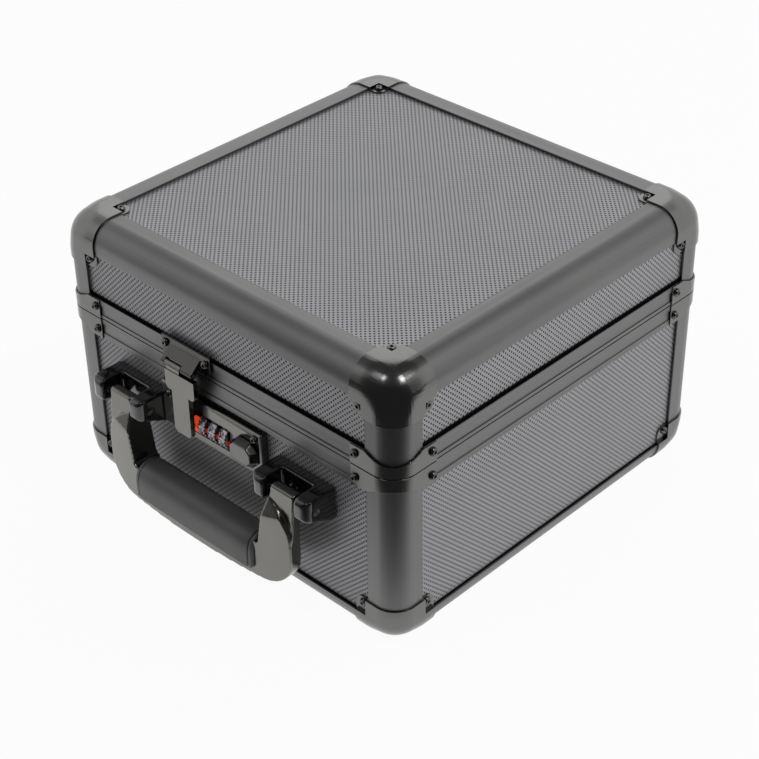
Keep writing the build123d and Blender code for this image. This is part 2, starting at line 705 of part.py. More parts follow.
def build_hasp():
    """Hasp plate with its rolled barrel, the pin and the swinging leaf."""
    axis_y = -hasp_axis_out
    y_rim = -rim_front
    y_face = y_rim - hasp_plate_thickness
    plate = block(hasp_left, hasp_right, y_face, y_rim, hasp_plate_bottom, hasp_plate_top)
    lower_right = Vertex(hasp_right, y_rim, hasp_plate_bottom)
    across = plate.edges().filter_by(Axis.Y)
    plate = chamfer([e for e in across if e.distance_to(lower_right) < 1e-6], hasp_corner_cut)
    roll_top = hasp_plate_top - hasp_roll_drop
    plate -= block(hasp_roll_left, hasp_roll_right, y_face, y_rim, hasp_plate_bottom, roll_top)
    # the middle of the plate slopes out and down, and rolls round the pin
    angle = math.radians(hasp_roll_tangent)
    meeting_y = axis_y - hasp_barrel_radius * math.cos(angle)
    meeting_z = hasp_axis_height + hasp_barrel_radius * math.sin(angle)
    slope = Polyline(
        (y_rim, roll_top), (y_face, roll_top), (meeting_y, meeting_z), (axis_y, hasp_axis_height),
        (axis_y + hasp_barrel_radius, hasp_axis_height), (y_face, roll_top - 2 * hasp_plate_thickness),
        (y_rim, roll_top - hasp_plate_thickness), close=True,
    )
    roll = extrude(side_plane(hasp_roll_left) * make_face(slope), amount=hasp_roll_right - hasp_roll_left)
    barrel = bar(hasp_barrel_radius, hasp_roll_left, hasp_roll_right, axis_y, hasp_axis_height)
    leaf_gap = bar(hasp_barrel_radius + hasp_leaf_clearance, leaf_knuckle_left - knuckle_gap,
                   leaf_knuckle_right + knuckle_gap, axis_y, hasp_axis_height)
    bore = bar(hasp_pin_radius + running_clearance, hasp_roll_left - 1, hasp_roll_right + 1, axis_y,
               hasp_axis_height)
    plate = plate + roll + barrel - leaf_gap - bore
    save("hasp_plate", drilled(plate, hasp_spots))
    save("hasp_pin", bar(hasp_pin_radius, hasp_roll_left, hasp_roll_right, axis_y, hasp_axis_height))

    outline = Polyline(
        (head_left, head_top), (head_left, head_bottom), (strap_left, head_bottom),
        (strap_left, strap_bottom), (strap_right, strap_bottom), (strap_right, head_bottom),
        (head_right, head_bottom), (head_right, head_top), close=True,
    )
    face = make_face(outline)
    free_ends = (
        (head_left, head_bottom), (head_right, head_bottom), (strap_left, strap_bottom),
        (strap_right, strap_bottom),
    )
    corners = [v for v in face.vertices() for x, z in free_ends if math.hypot(v.X - x, v.Y - z) < leaf_wall]
    face = fillet(corners, leaf_corner_radius)
    back = -leaf_front + leaf_depth
    leaf = extrude(front_plane(back) * face, amount=leaf_depth)
    hollow = offset(face, amount=-leaf_wall, kind=Kind.INTERSECTION)
    leaf -= extrude(front_plane(back) * hollow, amount=leaf_depth - leaf_wall)
    knuckle = bar(hasp_barrel_radius, leaf_knuckle_left, leaf_knuckle_right, axis_y, hasp_axis_height)
    neck = leaf_neck_inset - leaf_front
    knuckle += block(head_left + leaf_wall, leaf_knuckle_right, neck, neck + leaf_wall,
                     head_top - leaf_neck_overlap, hasp_axis_height)
    leaf += knuckle
    staple_x = (strap_left + strap_right) / 2
    leaf += block(staple_x - staple_width / 2, staple_x + staple_width / 2, -leaf_front + leaf_wall,
                  -lock_front - staple_gap, staple_height - staple_thickness / 2,
                  staple_height + staple_thickness / 2)
    save("hasp_leaf", leaf - bore)


def build_handle():
    """Handle brackets, pivot pins, the frame and its grip sleeve."""
    y_wall = -panel_front
    pivot_y = -pivot_out
    throat_y = -panel_front - bracket_throat_stand_off
    outline = Polyline(
        (y_wall, bracket_bottom), (y_wall, bracket_top), (-bracket_front, bracket_top),
        (-bracket_front, bracket_nose_bottom + bracket_nose_chamfer),
        (bracket_nose_chamfer - bracket_front, bracket_nose_bottom), (throat_y, bracket_throat),
        (y_wall - bracket_heel, bracket_bottom), close=True,
    )
    face = make_face(outline)
    tip_top = face.vertices().sort_by_distance((-bracket_front, bracket_top))[0]
    face = fillet(tip_top, bracket_round)
    pins = []
    for node, hand in (("handle_bracket_left", -1), ("handle_bracket_right", 1)):
        centre = handle_centre_x + hand * pivot_spacing / 2
        body = extrude(side_plane(centre) * face, amount=bracket_width / 2, both=True)
        plan = Pos(centre, y_wall) * Rectangle(
            bracket_width, 2 * bracket_stand_off, align=(Align.CENTER, Align.CENTER)
        )
        plan = fillet([v for v in plan.vertices() if v.Y < y_wall], bracket_side_round)
        body &= extrude(plan, amount=bracket_top + cut_past)
        half = bracket_pocket_width / 2
        body -= block(centre - half, centre + half, -bracket_front - cut_past, y_wall - bracket_back_wall,
                      bracket_bottom - cut_past, bracket_top + cut_past)
        body -= bar(pivot_pin_radius + running_clearance, centre - bracket_width, centre + bracket_width,
                    pivot_y, pivot_height)
        save(node, body)
        pins.append(bar(pivot_pin_radius, centre - bracket_width / 2, centre + bracket_width / 2,
                        pivot_y, pivot_height))
    save("handle_pins", pins)

    # outline of the frame from the front
    front = Pos(0, handle_bottom) * Rectangle(
        2 * handle_half_width, handle_top - handle_bottom, align=(Align.CENTER, Align.MIN)
    )
    front = fillet([v for v in front.vertices() if v.Y < handle_top - 1], handle_bottom_radius)
    gap = make_face(Polyline(
        (-handle_inner_bottom, handle_bar_top), (handle_inner_bottom, handle_bar_top),
        (handle_inner_top, handle_top), (-handle_inner_top, handle_top), close=True,
    ))
    gap = fillet([v for v in gap.vertices() if v.Y < handle_top - 1], handle_inner_radius)
    front -= gap
    # the arms: a plate that leans out to the bar, with the pivot in its head
    arm_side = make_face(Polyline(
        (y_wall - arm_foot_stand_off, handle_bar_top), (y_wall - arm_head_stand_off, handle_top),
        (y_wall - arm_heel_stand_off, handle_top), (y_wall - arm_heel_stand_off, arm_heel_height),
        (y_wall - arm_back_stand_off, arm_nape_height), (y_wall - arm_back_stand_off, handle_bar_top),
        close=True,
    ))
    head_front = arm_side.vertices().sort_by_distance((y_wall - arm_head_stand_off, handle_top))[0]
    arm_side = fillet(head_front, arm_head_round)
    head_back = arm_side.vertices().sort_by_distance((y_wall - arm_heel_stand_off, handle_top))[0]
    arm_side = fillet(head_back, arm_back_round)
    reach = handle_half_width + cut_past
    arms = extrude(front_plane(0) * front, amount=2 * pivot_out) & extrude(
        side_plane(0) * arm_side, amount=reach, both=True
    )
    # the bar: bowed in front, and ending on each arm in a round shoulder that slopes back
    low_front = Pos(0, handle_bottom) * Rectangle(
        2 * handle_half_width, shoulder_height - handle_bottom, align=(Align.CENTER, Align.MIN)
    )
    shoulders = low_front + Pos(shoulder_out, shoulder_height) * Circle(shoulder_radius)
    shoulders += Pos(-shoulder_out, shoulder_height) * Circle(shoulder_radius)
    bow_end = y_wall - bow_end_stand_off
    bow = ThreePointArc((-bow_half_length, bow_end), (0, -handle_front), (bow_half_length, bow_end))
    arm_back = y_wall - arm_back_stand_off
    back = Polyline(
        (bow_half_length, bow_end), (bow_half_length, arm_back), (back_step_outer, arm_back),
        (back_step_inner, -handle_back), (-back_step_inner, -handle_back), (-back_step_outer, arm_back),
        (-bow_half_length, arm_back), (-bow_half_length, bow_end),
    )
    slope_y = y_wall - arm_head_stand_off
    roof_reach = 2.0
    roof = make_face(Polyline(
        (0, 0), (slope_y - roof_reach * shoulder_slope_out, 0),
        (slope_y - roof_reach * shoulder_slope_out, shoulder_top - roof_reach * shoulder_slope_rise),
        (slope_y, shoulder_top), (0, shoulder_top), close=True,
    ))
    bar_form = extrude(front_plane(0) * (front & shoulders), amount=2 * pivot_out)
    bar_form &= extrude(make_face([bow, back]), amount=handle_top)
    bar_form &= extrude(side_plane(0) * roof, amount=reach, both=True)
    frame = arms + bar_form
    core_half = sleeve_half_length + sleeve_clearance
    grip_band = block(-core_half, core_half, -handle_front - cut_past, -handle_back + cut_past,
                      sleeve_bottom - sleeve_clearance, handle_bar_top + 1)
    core = block(-core_half - 1, core_half + 1, -sleeve_front + sleeve_wall, -sleeve_back - sleeve_wall,
                 sleeve_bottom - 1, handle_bar_top)
    frame -= grip_band - core
    for hand in (-1, 1):
        centre = hand * pivot_spacing / 2
        frame -= bar(pivot_pin_radius + running_clearance, centre - bracket_width, centre + bracket_width,
                     pivot_y, pivot_height)
    save("handle_frame", Pos(handle_centre_x, 0, 0) * frame)

    sleeve = block(-sleeve_half_length, sleeve_half_length, -sleeve_front, -sleeve_back, sleeve_bottom,
                   sleeve_top)
    upper = sleeve.edges().filter_by(Axis.X).group_by(Axis.Z)[-1]
    sleeve = fillet(upper, sleeve_round)
    lower = sleeve.edges().filter_by(Axis.X).group_by(Axis.Z)[0]
    sleeve = fillet(lower, sleeve_edge_round)
    inside = sleeve_wall - sleeve_clearance
    bore = block(-sleeve_half_length - 1, sleeve_half_length + 1, inside - sleeve_front, -sleeve_back - inside,
                 sleeve_bottom - 1, handle_bar_top + sleeve_clearance)
    save("grip_sleeve", Pos(handle_centre_x, 0, 0) * (sleeve - bore))


os.makedirs("parts", exist_ok=True)
build_shell()
build_corners()
build_liner()
build_rear_hinges()
build_lock()
build_hasp()
build_handle()
print("case shifted by", round(case_shift_y, 3), "and raised by", foot_stand_off)
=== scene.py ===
import math

import bmesh
import bpy
from mathutils import Matrix, Vector


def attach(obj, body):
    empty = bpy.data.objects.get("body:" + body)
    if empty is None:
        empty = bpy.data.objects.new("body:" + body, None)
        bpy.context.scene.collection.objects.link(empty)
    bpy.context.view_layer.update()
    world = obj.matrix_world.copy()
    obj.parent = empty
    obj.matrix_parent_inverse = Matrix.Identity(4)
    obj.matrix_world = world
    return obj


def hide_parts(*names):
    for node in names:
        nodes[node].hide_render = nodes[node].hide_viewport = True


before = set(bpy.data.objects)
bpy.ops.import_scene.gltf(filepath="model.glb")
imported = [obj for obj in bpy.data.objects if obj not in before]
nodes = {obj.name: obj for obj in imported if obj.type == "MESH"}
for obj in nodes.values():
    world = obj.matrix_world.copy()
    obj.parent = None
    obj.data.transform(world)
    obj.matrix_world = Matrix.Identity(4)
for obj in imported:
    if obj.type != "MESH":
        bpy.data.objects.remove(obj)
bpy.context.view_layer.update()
scene = bpy.context.scene
mm = 0.001
weldMm = 0.002  # points of one corner of a CAD mesh lie closer than this
drawingShift = Vector((0.0, 9.65, 1.0))  # mm from the case's own centre to the frame's origin
print("frame loaded:", len(nodes), "nodes")


# Small helpers

def toLinear(hexColour):
    values = [int(hexColour[i:i + 2], 16) / 255 for i in (0, 2, 4)]
    return [v / 12.92 if v <= 0.04045 else ((v + 0.055) / 1.055) ** 2.4 for v in values] + [1.0]


def at(x, y, z):
    # a point drawn in mm from the case's centre, as metres in the frame
    return (Vector((x, y, z)) + drawingShift) * mm


def addNode(tree, kind, inputs=None, **settings):
    # one node with its settings; an input takes a value or another node's output
    node = tree.nodes.new(kind)
    for name, value in settings.items():
        setattr(node, name, value)
    for socket, value in (inputs or {}).items():
        if isinstance(value, bpy.types.NodeSocket):
            tree.links.new(value, node.inputs[socket])
        else:
            node.inputs[socket].default_value = value
    return node


def newMaterial(name, colour, metallic, roughness, **sockets):
    material = bpy.data.materials.new(name)
    material.use_nodes = True
    shader = material.node_tree.nodes["Principled BSDF"]
    shader.inputs["Base Color"].default_value = toLinear(colour)
    shader.inputs["Metallic"].default_value = metallic
    shader.inputs["Roughness"].default_value = roughness
    for socket, value in sockets.items():
        shader.inputs[socket.replace("_", " ")].default_value = value
    return material, material.node_tree, shader


def dress(nodeNames, material):
    for name in nodeNames:
        slots = nodes[name].data.materials
        slots.clear()
        slots.append(material)


def roundEdges(piece, width, sharpest, segments=2, weight=60):
    # a round, in mm, on the edges that turn by more degrees than sharpest
    bevel = piece.modifiers.new("round", "BEVEL")
    bevel.width = width * mm
    bevel.segments = segments
    bevel.limit_method = "ANGLE"
    bevel.angle_limit = math.radians(sharpest)
    piece.modifiers.new("shade", "WEIGHTED_NORMAL").weight = weight


def soften(nodeNames, width):
    # a small round on the sharp edges of a CAD node, so they catch the light
    for name in nodeNames:
        nodes[name].modifiers.new("join", "WELD").merge_threshold = weldMm * mm
        roundEdges(nodes[name], width, 38)


def addPiece(name, mesh, materials, body, replaces=()):
    piece = bpy.data.objects.new(name, mesh)
    scene.collection.objects.link(piece)
    for material in materials:
        mesh.materials.append(material)
    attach(piece, body)
    if replaces:
        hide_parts(*replaces)
    return piece


def loft(bm, rings, caps=True):
    # quads between closed rings of as many points
    made = [[bm.verts.new(p) for p in ring] for ring in rings]
    count = len(made[0])
    for lower, upper in zip(made, made[1:]):
        for i in range(count):
            j = (i + 1) % count
            bm.faces.new((lower[i], lower[j], upper[j], upper[i]))
    if caps:
        bm.faces.new(list(reversed(made[0])))
        bm.faces.new(made[-1])
    return made


def finishMesh(bm, name, smoothAngle=35):
    bmesh.ops.recalc_face_normals(bm, faces=bm.faces)
    mesh = bpy.data.meshes.new(name)
    bm.to_mesh(mesh)
    bm.free()
    mesh.shade_smooth()
    mesh.set_sharp_from_angle(angle=math.radians(smoothAngle))
    return mesh


# Materials

panelLook = {
    "pitMm": 1.15,  # width of one pressed pit
    "pitFade": (0.8, 1.15),  # where its edge begins and ends, as shares of half that width
    "cellMm": 3.1,  # side of the square cell that holds a pit at its corner and one at its centre
    "pitDepthMm": 0.25,
    "blotchScale": 35.0,  # per metre, so blotches about 3 cm wide
    "shadeFadeMm": 0.5,  # how far the painted shade of a slot fades into the sheet
    # the last tone is painted shade: the black of the gap between the sheet and the lip of its slot
    "sheet": ("98989b", "a3a3a6"), "pit": "131314", "slotShadeTone": "0a0a0a",
    "sheetRough": 0.4, "pitRough": 0.75,
}
lidSlotShadeLines = [(2, 122.4, -1)]  # painted shade of each slot: its axis, the height in mm where it starts, and the way out of the panel
baseSlotShadeLines = [(2, 14.9, -1)]


def dottedLaminate(name, first, second, edges=()):
    # Aluminium-faced laminate, pressed with staggered pits: a cool silver grey sheet whose pits are
    # dark dots in straight rows, with a faint sheen between them. Where it runs into a slot it is
    # painted black: painted shade of the deep gap behind the lip
    material, tree, shader = newMaterial(name, "9c9c9f", 0.3, 0.42)
    place = addNode(tree, "ShaderNodeTexCoord").outputs["Object"]
    axes = addNode(tree, "ShaderNodeSeparateXYZ", {0: place})
    u, v = axes.outputs[first], axes.outputs[second]
    rate = 1 / (panelLook["cellMm"] * mm)
    total = addNode(tree, "ShaderNodeMath", {0: u, 1: v}, operation="ADD").outputs[0]
    apart = addNode(tree, "ShaderNodeMath", {0: u, 1: v}, operation="SUBTRACT").outputs[0]
    both = addNode(tree, "ShaderNodeCombineXYZ", {0: total, 1: apart}).outputs[0]
    cells = addNode(tree, "ShaderNodeVectorMath", {0: both, 1: (rate, rate, 0)}, operation="MULTIPLY")
    inCell = addNode(tree, "ShaderNodeVectorMath", {0: cells.outputs[0]}, operation="FRACTION")
    centred = addNode(tree, "ShaderNodeVectorMath", {0: inCell.outputs[0], 1: (0.5, 0.5, 0)},
                      operation="SUBTRACT")
    reach = addNode(tree, "ShaderNodeVectorMath", {0: centred.outputs[0]},
                    operation="LENGTH").outputs["Value"]
    unit = panelLook["cellMm"] / math.sqrt(2)  # mm from pit to pit
    inner, outer = (panelLook["pitMm"] / 2 / unit * share for share in panelLook["pitFade"])
    pit = addNode(tree, "ShaderNodeMapRange", {0: reach, 1: inner, 2: outer, 3: 1.0, 4: 0.0},
                  interpolation_type="SMOOTHSTEP").outputs[0]
    blotch = addNode(tree, "ShaderNodeTexNoise", {"Vector": place, "Scale": panelLook["blotchScale"],
                                                  "Detail": 3.0}).outputs[0]
    darker, lighter = (toLinear(c) for c in panelLook["sheet"])
    sheet = addNode(tree, "ShaderNodeMix", {0: blotch, 6: darker, 7: lighter}, data_type="RGBA").outputs[2]
    shown = addNode(tree, "ShaderNodeMix", {0: pit, 6: sheet, 7: toLinear(panelLook["pit"])},
                    data_type="RGBA").outputs[2]
    # painted shade: below each slot's height the sheet turns black, as the gap behind the lip is dark
    black = toLinear(panelLook["slotShadeTone"])
    for axis, height, outward in edges:
        z = (height + drawingShift[axis]) * mm
        start = z - outward * panelLook["shadeFadeMm"] * mm
        near = addNode(tree, "ShaderNodeMapRange", {0: axes.outputs[axis], 1: start, 2: z, 3: 0.0, 4: 1.0})
        shown = addNode(tree, "ShaderNodeMix", {0: near.outputs[0], 6: shown, 7: black},
                        data_type="RGBA").outputs[2]
    tree.links.new(shown, shader.inputs["Base Color"])
    dull = addNode(tree, "ShaderNodeMapRange", {0: pit, 3: panelLook["sheetRough"],
                                                4: panelLook["pitRough"]})
    tree.links.new(dull.outputs[0], shader.inputs["Roughness"])
    hollow = addNode(tree, "ShaderNodeMath", {0: 1.0, 1: pit}, operation="SUBTRACT").outputs[0]
    bump = addNode(tree, "ShaderNodeBump", {"Height": hollow, "Strength": 0.6,
                                            "Distance": panelLook["pitDepthMm"] * mm})
    tree.links.new(bump.outputs[0], shader.inputs["Normal"])
    return material


extrusionLook = {
    # the die lines: how far apart, how long and how deep. Real ones lie closer than this and are too
    # fine to show, so these are as coarse as they need to be
    "lineMm": 0.5, "lineLengthMm": 140.0, "lineDepthMm": 0.02,
    "cloudScale": 28.0,  # per metre, so clouds about 4 cm wide
    "shades": ("727272", "7b7b7a"), "rough": (0.36, 0.46),
}


def anodisedExtrusion(name, lengthAxis):
    # Anodised aluminium, extruded: dark grey with a satin gloss, and hair-fine die lines that
    # run along its length and stretch the highlights across it
    material, tree, shader = newMaterial(name, "767676", 1.0, 0.34)
    place = addNode(tree, "ShaderNodeTexCoord").outputs["Object"]
    scale = [1 / (extrusionLook["lineMm"] * mm)] * 3
    scale[lengthAxis] = 1 / (extrusionLook["lineLengthMm"] * mm)
    stretched = addNode(tree, "ShaderNodeVectorMath", {0: place, 1: scale}, operation="MULTIPLY").outputs[0]
    lines = addNode(tree, "ShaderNodeTexNoise", {"Vector": stretched, "Scale": 1.0,
                                                 "Detail": 2.0}).outputs[0]
    cloud = addNode(tree, "ShaderNodeTexNoise", {"Vector": place, "Scale": extrusionLook["cloudScale"],
                                                 "Detail": 2.0}).outputs[0]
    darker, lighter = (toLinear(c) for c in extrusionLook["shades"])
    colour = addNode(tree, "ShaderNodeMix", {0: cloud, 6: darker, 7: lighter}, data_type="RGBA")
    tree.links.new(colour.outputs[2], shader.inputs["Base Color"])
    low, high = extrusionLook["rough"]
    rough = addNode(tree, "ShaderNodeMapRange", {0: lines, 1: 0.3, 2: 0.7, 3: low, 4: high}).outputs[0]
    tree.links.new(rough, shader.inputs["Roughness"])
    bump = addNode(tree, "ShaderNodeBump", {"Height": lines, "Strength": 0.25,
                                            "Distance": extrusionLook["lineDepthMm"] * mm})
    tree.links.new(bump.outputs[0], shader.inputs["Normal"])
    return material


cloudLook = {"shadeScale": 60.0, "handlingScale": 110.0}  # per metre: clouds about 17 mm and 9 mm wide


def speckledFinish(name, dark, light, metallic, rough, grainMm, bumpMm, **sockets):
    # the common base of the plated, painted and moulded finishes: two near shades in a soft cloud,
    # roughness that wanders a little, and a shallow grain in the relief. The real grain is too fine to
    # show, so grainMm is as coarse as it needs to be
    material, tree, shader = newMaterial(name, dark, metallic, sum(rough) / 2, **sockets)
    place = addNode(tree, "ShaderNodeTexCoord").outputs["Object"]
    cloud = addNode(tree, "ShaderNodeTexNoise", {"Vector": place, "Scale": cloudLook["shadeScale"],
                                                 "Detail": 3.0}).outputs[0]
    colour = addNode(tree, "ShaderNodeMix", {0: cloud, 6: toLinear(dark), 7: toLinear(light)},
                     data_type="RGBA")
    tree.links.new(colour.outputs[2], shader.inputs["Base Color"])
    smear = addNode(tree, "ShaderNodeTexNoise", {"Vector": place, "Scale": cloudLook["handlingScale"],
                                                 "Detail": 4.0}).outputs[0]
    wander = addNode(tree, "ShaderNodeMapRange", {0: smear, 1: 0.3, 2: 0.7, 3: rough[0], 4: rough[1]})
    tree.links.new(wander.outputs[0], shader.inputs["Roughness"])
    grain = addNode(tree, "ShaderNodeTexNoise", {"Vector": place, "Scale": 1 / (grainMm * mm),
                                                 "Detail": 1.0})
    bump = addNode(tree, "ShaderNodeBump", {"Height": grain.outputs[0], "Strength": 0.3,
                                            "Distance": bumpMm * mm})
    tree.links.new(bump.outputs[0], shader.inputs["Normal"])
    return material


lidLaminateFront = dottedLaminate("dottedLaminateLidFrontBack", 0, 2, lidSlotShadeLines)
lidLaminateSide = dottedLaminate("dottedLaminateLidSides", 1, 2, lidSlotShadeLines)
baseLaminateFront = dottedLaminate("dottedLaminateBaseFrontBack", 0, 2, baseSlotShadeLines)
baseLaminateSide = dottedLaminate("dottedLaminateBaseSides", 1, 2, baseSlotShadeLines)
laminateTop = dottedLaminate("dottedLaminateTopBottom", 0, 1)
extrusionX = anodisedExtrusion("anodisedExtrusionX", 0)
extrusionY = anodisedExtrusion("anodisedExtrusionY", 1)
extrusionZ = anodisedExtrusion("anodisedExtrusionZ", 2)

# Pressed steel, plated in black nickel: dark pewter and glossy, with tight clear highlights
blackNickel = speckledFinish("blackNickelPressedSteel", "6c6c6b", "747473", 1.0, (0.18, 0.23), 0.8, 0.006)
# The same plating on rolled steel rivets: darker, and brighter on their small crowns
blackNickelRivet = speckledFinish("blackNickelRivetSteel", "565655", "646462", 1.0, (0.14, 0.22), 0.5, 0.01)
# Zinc die casting, pewter plated and satin: a warm middle grey with a soft broad shine
satinZinc = speckledFinish("satinPlatedZinc", "747370", "7d7c78", 1.0, (0.17, 0.25), 0.8, 0.008)
# The same plating where it is polished, on hinge leaves and the hasp's plate: it mirrors the dark room, and
# its colour is painted darker than the satin plating's, as painted shade
polishedShadedZinc = speckledFinish("shadedPolishedPlating", "4c4b4a", "555452", 1.0, (0.1, 0.18), 0.8, 0.006)
# Chromed zinc wheels: cool and mirror-like, and dulled a little by handling
chromedWheel = speckledFinish("chromedWheelZinc", "94949a", "a2a2a8", 1.0, (0.14, 0.24), 0.6, 0.01)
# ABS, injection moulded and polished: black with clear small highlights
glossyAbs = speckledFinish("glossyMouldedAbs", "101011", "181819", 0.0, (0.08, 0.14), 1.2, 0.01, IOR=1.54,
                           Coat_Weight=0.7, Coat_Roughness=0.05)
# ABS, moulded and matt, inside the lock
mattAbs = speckledFinish("mattMouldedAbs", "141414", "1c1c1c", 0.0, (0.5, 0.65), 0.5, 0.03, IOR=1.54)
# Thermoplastic rubber, moulded satin: dark grey, dull, with a broad soft shine
satinRubber = speckledFinish("satinGripRubber", "565656", "5e5e5d", 0.0, (0.36, 0.44), 0.5, 0.02, IOR=1.5)
# Rubber feet, hard and moulded: nearly black and quite dull
footRubber = speckledFinish("mouldedFootRubber", "1a1a1a", "242424", 0.0, (0.65, 0.8), 0.4, 0.05, IOR=1.5)
# Steel pins, drawn bright: pale, with a tight shine
drawnSteel = speckledFinish("drawnSteelPin", "9a9a98", "a6a6a4", 1.0, (0.2, 0.3), 0.4, 0.01)
# Orange enamel in the index marks, with an added orange glow: painted light that lifts them out of the
# shade of the lock's window
orangeGlowEnamel = speckledFinish("paintedGlowOrangeEnamel", "ff5420", "ff6a38", 0.0, (0.25, 0.35), 0.5, 0.01,
                              IOR=1.5, Emission_Color=toLinear("ff4a1c"), Emission_Strength=0.55)
# Paint in the digits: dull black
digitPaint = speckledFinish("digitPaintBlack", "101010", "181818", 0.0, (0.5, 0.6), 0.3, 0.01, IOR=1.5)


foamCellLook = {
    "cellMm": 0.9, "depthMm": 0.2,  # real cells are about half as wide, too fine to show
    # painted shade: the first tone darkens the hollow middle of each cell, the second is its rim
    "shades": ("1d1d20", "35353a"),
}


def cellFoam():
    # Closed-cell EVA foam, cut: charcoal and quite matt, with small open cells on its cut faces,
    # each painted darker towards its hollow middle as painted shade
    material, tree, shader = newMaterial("cutEvaFoam", "26262a", 0.0, 0.9, Sheen_Weight=0.25, IOR=1.45)
    place = addNode(tree, "ShaderNodeTexCoord").outputs["Object"]
    rate = 1 / (foamCellLook["cellMm"] * mm)
    cells = addNode(tree, "ShaderNodeTexVoronoi", {"Vector": place, "Scale": rate})
    reach = cells.outputs["Distance"]
    # painted shade: darker towards each cell's middle, where it is hollow
    shade = addNode(tree, "ShaderNodeMapRange", {0: reach, 1: 0.1, 2: 0.7, 3: 0.0, 4: 1.0}).outputs[0]
    darker, lighter = (toLinear(c) for c in foamCellLook["shades"])
    colour = addNode(tree, "ShaderNodeMix", {0: shade, 6: darker, 7: lighter}, data_type="RGBA")
    tree.links.new(colour.outputs[2], shader.inputs["Base Color"])
    bump = addNode(tree, "ShaderNodeBump", {"Height": reach, "Strength": 0.5,
                                            "Distance": foamCellLook["depthMm"] * mm})
    tree.links.new(bump.outputs[0], shader.inputs["Normal"])
    return material


cutFoam = cellFoam()

halves = ("base_", "lid_")
alongX = ("front_", "back_")
alongY = ("left_", "right_")
dress(["lid_" + s + "panel" for s in alongX], lidLaminateFront)
dress(["lid_" + s + "panel" for s in alongY], lidLaminateSide)
dress(["base_" + s + "panel" for s in alongX], baseLaminateFront)
dress(["base_" + s + "panel" for s in alongY], baseLaminateSide)
dress(["lid_top_panel", "base_bottom_panel"], laminateTop)
dress([h + s + k for h in halves for s in alongX for k in ("edge", "rim")], extrusionX)
dress([h + s + k for h in halves for s in alongY for k in ("edge", "rim")], extrusionY)
dress(["base_posts", "lid_posts"], extrusionZ)
dress(["base_ball_corners", "lid_ball_corners", "base_rim_braces", "lid_rim_braces", "release_button"],
      blackNickel)
dress(["base_rivets", "lid_rivets"], blackNickelRivet)
dress(["base_hinge_leaves", "lid_hinge_leaves", "hasp_plate"], polishedShadedZinc)
dress(["lock_plate", "hasp_leaf", "handle_frame"], satinZinc)
dress(["handle_bracket_left", "handle_bracket_right"], glossyAbs)
dress(["lock_housing"], mattAbs)
dress(["hinge_pins", "hasp_pin", "handle_pins", "dial_axle"], drawnSteel)
dress(["feet"], footRubber)
dress(["base_foam", "lid_foam"], cutFoam)
dress(["dial_1", "dial_2", "dial_3"], chromedWheel)
dress(["grip_sleeve"], satinRubber)
print("materials made and the CAD nodes dressed")


# Rounds on the edges of the CAD nodes

edgeRound = {"pressed": 0.25, "extruded": 0.2, "headed": 0.25, "cast": 0.3}  # mm
soften(["base_rim_braces", "lid_rim_braces", "hasp_plate", "base_hinge_leaves", "lid_hinge_leaves"],
       edgeRound["pressed"])
soften([h + s + k for h in halves for s in alongX + alongY for k in ("edge", "rim")], edgeRound["extruded"])
soften(["base_posts", "lid_posts"], edgeRound["extruded"])
soften(["base_rivets", "lid_rivets"], edgeRound["headed"])
soften(["lock_plate", "hasp_leaf"], edgeRound["cast"])

castLook = {  # node: mm between the points of its even mesh, and passes of smoothing
    "handle_bracket_left": (0.4, 34), "handle_bracket_right": (0.4, 34),
    "handle_frame": (0.5, 9), "release_button": (0.25, 20),
}


def castRound(piece, grain, passes):
    # the soft rounds of a casting or a moulding: a fine even mesh over the CAD form, smoothed
    even = piece.modifiers.new("evenMesh", "REMESH")
    even.mode = "VOXEL"
    even.voxel_size = grain * mm
    even.use_smooth_shade = True
    smooth = piece.modifiers.new("castRound", "SMOOTH")
    smooth.factor = 0.5
    smooth.iterations = passes


for name, (grain, passes) in castLook.items():
    castRound(nodes[name], grain, passes)
print("edges rounded")


# Ball corners: the solid has one radius on all its edges, and the pressed sheet has a fuller nose

cornerLook = {
    "halfWidth": 125.0, "height": 167.2, "edgeRadius": 14.0,
    "noseDrop": 1.9,  # mm that the nose is pressed back from the plain radius
    "noseNear": 8.0, "noseFar": 25.0,  # mm from the corner of the case, where that starts and ends
    "sections": (6.0, 8.0, 10.0, 12.0, 14.0, 15.5, 17.0, 18.5, 20.0, 21.5, 23.0, 24.5),
    "smoothAngle": 32, "rimAngle": 50,  # degrees from which an edge shades sharp, and is rounded
    "rimRound": 0.3,
}


def sliceCorners(bm, middle, wide, down, sections):
    # even cuts across the radii, so that the nose has points to press
    planes = []
    for step in sections:
        for side in (-1, 1):
            planes.append((middle + Vector((side * (wide - step * mm), 0, 0)), (1, 0, 0)))
            planes.append((middle + Vector((0, side * (wide - step * mm), 0)), (0, 1, 0)))
        planes.append((middle + Vector((0, 0, down * step * mm)), (0, 0, 1)))
    for point, normal in planes:
        bmesh.ops.bisect_plane(bm, geom=bm.verts[:] + bm.edges[:] + bm.faces[:], dist=1e-7, plane_co=point,
                               plane_no=normal)
    bmesh.ops.triangulate(bm, faces=bm.faces)


